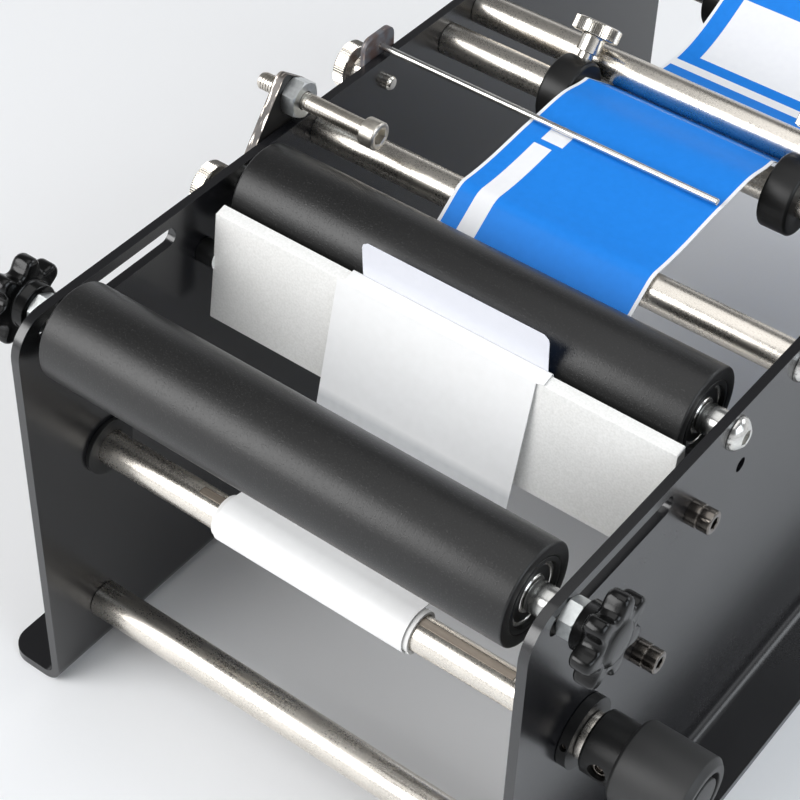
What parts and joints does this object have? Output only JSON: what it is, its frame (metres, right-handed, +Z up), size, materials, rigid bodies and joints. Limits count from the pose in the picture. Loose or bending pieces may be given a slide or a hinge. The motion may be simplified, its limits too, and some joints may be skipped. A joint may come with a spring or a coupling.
{
  "type": "manual bottle labelling machine",
  "caption": "Hand-cranked label applicator: flanged side plates carry rubber rollers for a bottle, a peel plate, a label roll, guide rods and a take-up shaft with a drive knob.",
  "frame": {"origin": "centre of the footprint on the bench, under the feet", "axes": "+X along the rollers towards the drive knob, +Y from the front roller to the label roll, +Z up"},
  "size_m": [0.2318, 0.34, 0.1685],
  "materials": {
    "black_coat": "fine-grained satin black powder coat",
    "nickel": "nickel-plated rod with fine turning marks along it",
    "bright_screw": "bright plated screw",
    "dark_screw": "dark plated cap screw with a bright socket rim",
    "peel_metal": "satin off-white plate with a bright upper bevel",
    "web_paper": "printed labels on glossy backing paper",
    "label_paper": "back of a label, pale lavender white",
    "roller_rubber": "ground black rubber, soft sheen",
    "core_metal": "turned tube",
    "bearing_steel": "ground rings with a shield",
    "spacer_metal": "bright turned sleeve",
    "axle_steel": "ground steel rod",
    "zinc": "bright zinc plating",
    "knob_plastic": "moulded black plastic with a fine grain",
    "bush_plastic": "turned black plastic",
    "clip_steel": "worn spring strip",
    "wound_paper": "wound white backing paper",
    "blackened": "blackened turned steel",
    "drive_black": "smooth black knob with a soft gloss",
    "thumb_chrome": "bright knurled head",
    "core_card": "wound cardboard tube",
    "roll_paper": "wound label roll with paper edges",
    "worn_black": "brownish worn black finish",
    "thread_steel": "rolled thread, bright head"
  },
  "bodies": {
    "frame": {"plate_left": "black_coat", "plate_right": "black_coat", "tie_rod": "nickel", "mid_rod": "nickel", "collar_shaft": "nickel", "rear_rod": "nickel", "supply_shaft": "nickel", "liner_bar": "nickel", "rod_screws": "bright_screw", "cap_screws": "dark_screw", "peel_plate": "peel_metal", "label_web": "web_paper", "peeled_label": "label_paper", "rear_spacers": "spacer_metal", "rear_axle": "bright_screw", "take_bushes": "bush_plastic"},
    "front_carriage": {"front_axle": "axle_steel", "front_spacers": "spacer_metal", "axle_nuts": "zinc"},
    "front_roll": {"front_roller": "roller_rubber", "front_core": "core_metal", "front_bearings": "bearing_steel"},
    "star_l": {"star_left": "knob_plastic"},
    "star_r": {"star_right": "knob_plastic"},
    "rear_roll": {"rear_roller": "roller_rubber", "rear_core": "core_metal", "rear_bearings": "bearing_steel"},
    "take_up": {"take_shaft": "nickel", "take_clip": "clip_steel", "take_paper": "wound_paper", "set_collar": "blackened", "bright_ring": "nickel", "drive_hub": "blackened", "grub_screws": "dark_screw", "drive_knob": "drive_black"},
    "edge_l": {"collar_left": "blackened"},
    "edge_r": {"collar_right": "blackened"},
    "edge_thumb_l": {"thumb_left": "thumb_chrome"},
    "edge_thumb_r": {"thumb_right": "thumb_chrome"},
    "supply_edge_l": {"supply_collar_left": "blackened"},
    "supply_edge_r": {"supply_collar_right": "blackened"},
    "supply_screw_l": {"supply_thumb_left": "thumb_chrome"},
    "supply_screw_r": {"supply_thumb_right": "thumb_chrome"},
    "label_roll": {"supply_hub": "bush_plastic", "supply_core": "core_card", "supply_roll": "roll_paper"},
    "stop": {"stop_arm": "worn_black", "stop_nut": "zinc"},
    "stop_bolt": {"stop_screw": "thread_steel"},
    "stop_clamp": {"stop_thumb": "thumb_chrome"},
    "press": {"press_bracket": "worn_black", "press_rod": "bright_screw"},
    "press_clamp": {"press_thumb": "thumb_chrome"}
  },
  "joints": [
    {"name": "front_roller_adjust", "type": "slide", "parent": "frame", "child": "front_carriage", "axis": [0, 1, 0], "range_m": [-0.0043, 0.041]},
    {"name": "front_roller_spin", "type": "hinge", "parent": "front_carriage", "child": "front_roll", "pos_m": [-0.00935, -0.1535, 0.1452], "axis": [1, 0, 0], "continuous": true},
    {"name": "star_knob_left_turn", "type": "hinge", "parent": "front_carriage", "child": "star_l", "pos_m": [-0.10535, -0.1535, 0.1452], "axis": [1, 0, 0], "range_deg": [-180, 180]},
    {"name": "star_knob_right_turn", "type": "hinge", "parent": "front_carriage", "child": "star_r", "pos_m": [0.08665, -0.1535, 0.1452], "axis": [1, 0, 0], "range_deg": [-180, 180]},
    {"name": "rear_roller_spin", "type": "hinge", "parent": "frame", "child": "rear_roll", "pos_m": [-0.00935, -0.0733, 0.1452], "axis": [1, 0, 0], "continuous": true},
    {"name": "take_up_spin", "type": "hinge", "parent": "frame", "child": "take_up", "pos_m": [-0.00935, -0.1397, 0.0855], "axis": [1, 0, 0], "continuous": true},
    {"name": "edge_collar_left_slide", "type": "slide", "parent": "frame", "child": "edge_l", "axis": [1, 0, 0], "range_m": [-0.038, 0.001]},
    {"name": "edge_collar_right_slide", "type": "slide", "parent": "frame", "child": "edge_r", "axis": [1, 0, 0], "range_m": [-0.001, 0.029]},
    {"name": "edge_thumb_left_turn", "type": "hinge", "parent": "edge_l", "child": "edge_thumb_l", "pos_m": [-0.04535, 0.029, 0.1415], "axis": [0, 0.6428, 0.766], "range_deg": [-180, 180]},
    {"name": "edge_thumb_right_turn", "type": "hinge", "parent": "edge_r", "child": "edge_thumb_r", "pos_m": [0.03565, 0.029, 0.1415], "axis": [0, 0.6428, 0.766], "range_deg": [-180, 180]},
    {"name": "supply_collar_left_slide", "type": "slide", "parent": "frame", "child": "supply_edge_l", "axis": [1, 0, 0], "range_m": [-0.034, 0]},
    {"name": "supply_collar_right_slide", "type": "slide", "parent": "frame", "child": "supply_edge_r", "axis": [1, 0, 0], "range_m": [0, 0.026]},
    {"name": "supply_thumb_left_turn", "type": "hinge", "parent": "supply_edge_l", "child": "supply_screw_l", "pos_m": [-0.04885, 0.1405, 0.1184], "axis": [0, 0.9397, -0.342], "range_deg": [-180, 180]},
    {"name": "supply_thumb_right_turn", "type": "hinge", "parent": "supply_edge_r", "child": "supply_screw_r", "pos_m": [0.03815, 0.1405, 0.1184], "axis": [0, 0.9397, -0.342], "range_deg": [-180, 180]},
    {"name": "label_roll_spin", "type": "hinge", "parent": "frame", "child": "label_roll", "pos_m": [-0.00935, 0.1405, 0.1184], "axis": [1, 0, 0], "continuous": true},
    {"name": "stop_arm_swing", "type": "hinge", "parent": "frame", "child": "stop", "pos_m": [-0.09735, -0.0728, 0.1354], "axis": [1, 0, 0], "range_deg": [0, 70]},
    {"name": "stop_screw_adjust", "type": "slide", "parent": "stop", "child": "stop_bolt", "axis": [1, 0, 0], "range_m": [-0.02, 0.007]},
    {"name": "stop_thumb_turn", "type": "hinge", "parent": "frame", "child": "stop_clamp", "pos_m": [-0.10135, -0.0728, 0.1354], "axis": [1, 0, 0], "range_deg": [-180, 180]},
    {"name": "press_rod_lift", "type": "slide", "parent": "frame", "child": "press", "axis": [0, 0, 1], "range_m": [0, 0.01]},
    {"name": "press_thumb_turn", "type": "hinge", "parent": "frame", "child": "press_clamp", "pos_m": [-0.10135, -0.0047, 0.1433], "axis": [1, 0, 0], "range_deg": [-180, 180]}
  ],
  "couplings": [
    {"joint": "rear_roller_spin", "follows": "take_up_spin", "ratio": -0.4693},
    {"joint": "label_roll_spin", "follows": "take_up_spin", "ratio": 0.1396}
  ]
}
